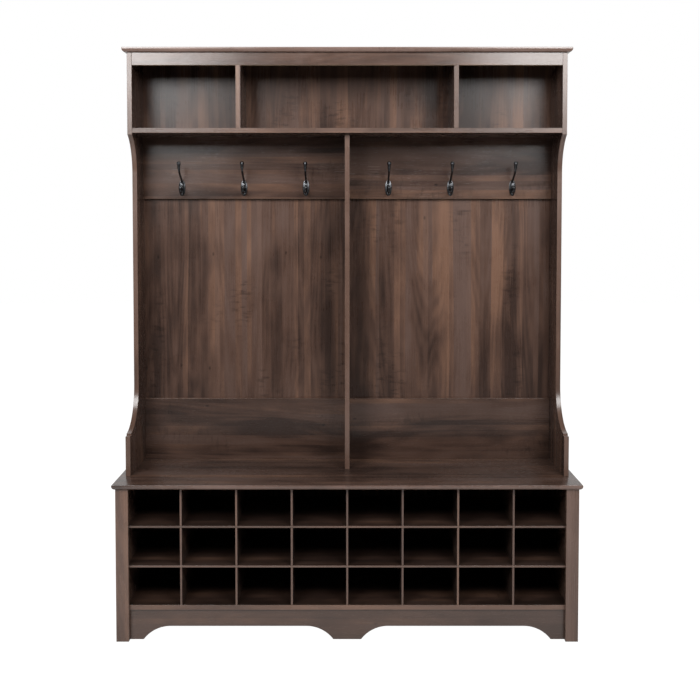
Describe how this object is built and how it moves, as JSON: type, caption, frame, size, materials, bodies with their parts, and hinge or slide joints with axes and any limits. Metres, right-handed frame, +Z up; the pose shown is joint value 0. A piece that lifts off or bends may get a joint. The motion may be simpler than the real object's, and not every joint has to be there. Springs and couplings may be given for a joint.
{
  "type": "hall tree with shoe bench",
  "caption": "Wide hall tree in dark walnut laminate: moulded bench over a shoe-cubby grid, scooped sides, two coat bays with double hooks, and small compartments under a moulded top.",
  "frame": {"origin": "on the floor, at the middle of the bench top's outline seen from above", "axes": "+X to the right as seen from the front, +Y from the front towards the wall, +Z up"},
  "size_m": [1.524, 0.4, 1.954],
  "materials": {
    "panel_laminate": "dark walnut-grain laminate on particle board, semi-gloss",
    "rail_laminate": "dark walnut-grain laminate with level grain, semi-gloss",
    "top_laminate": "dark walnut-grain laminate with level grain and a moulded edge, semi-gloss",
    "edge_board": "dark walnut-grain laminate with a lighter edge band",
    "back_laminate": "thin fibreboard, walnut-grain face and plain brown rear",
    "hook_casting": "cast hook, gloss black powder coat",
    "hook_screw": "black countersunk screw with a cross recess",
    "glide_plastic": "dark nail-on furniture glide"
  },
  "bodies": {
    "root": {"bench_gable_left": "panel_laminate", "bench_gable_right": "panel_laminate", "bench_bottom": "panel_laminate", "kick_board": "panel_laminate", "rear_kick_board": "panel_laminate", "centre_support": "panel_laminate", "centre_divider": "panel_laminate", "cubby_divider_left": "panel_laminate", "cubby_divider_right": "panel_laminate", "hutch_gable_left": "panel_laminate", "hutch_gable_right": "panel_laminate", "top_fascia": "rail_laminate", "hook_rail_left": "rail_laminate", "hook_rail_right": "rail_laminate", "lower_rail_left": "rail_laminate", "lower_rail_right": "rail_laminate", "bench_top": "top_laminate", "hutch_top": "top_laminate", "stile_left": "edge_board", "stile_right": "edge_board", "hutch_shelf": "edge_board", "shoe_shelf_lower": "edge_board", "shoe_shelf_upper": "edge_board", "shoe_divider_1": "edge_board", "shoe_divider_2": "edge_board", "shoe_divider_3": "edge_board", "shoe_divider_4": "edge_board", "shoe_divider_5": "edge_board", "shoe_divider_6": "edge_board", "shoe_divider_7": "edge_board", "hutch_back_upper": "back_laminate", "hutch_back_left": "back_laminate", "hutch_back_right": "back_laminate", "bench_back": "back_laminate", "hook_1": "hook_casting", "hook_2": "hook_casting", "hook_3": "hook_casting", "hook_4": "hook_casting", "hook_5": "hook_casting", "hook_6": "hook_casting", "hook_1_screw_upper": "hook_screw", "hook_1_screw_lower": "hook_screw", "hook_2_screw_upper": "hook_screw", "hook_2_screw_lower": "hook_screw", "hook_3_screw_upper": "hook_screw", "hook_3_screw_lower": "hook_screw", "hook_4_screw_upper": "hook_screw", "hook_4_screw_lower": "hook_screw", "hook_5_screw_upper": "hook_screw", "hook_5_screw_lower": "hook_screw", "hook_6_screw_upper": "hook_screw", "hook_6_screw_lower": "hook_screw", "glide_centre": "glide_plastic", "glide_left_front": "glide_plastic", "glide_left_rear": "glide_plastic", "glide_right_front": "glide_plastic", "glide_right_rear": "glide_plastic"}
  },
  "joints": []
}
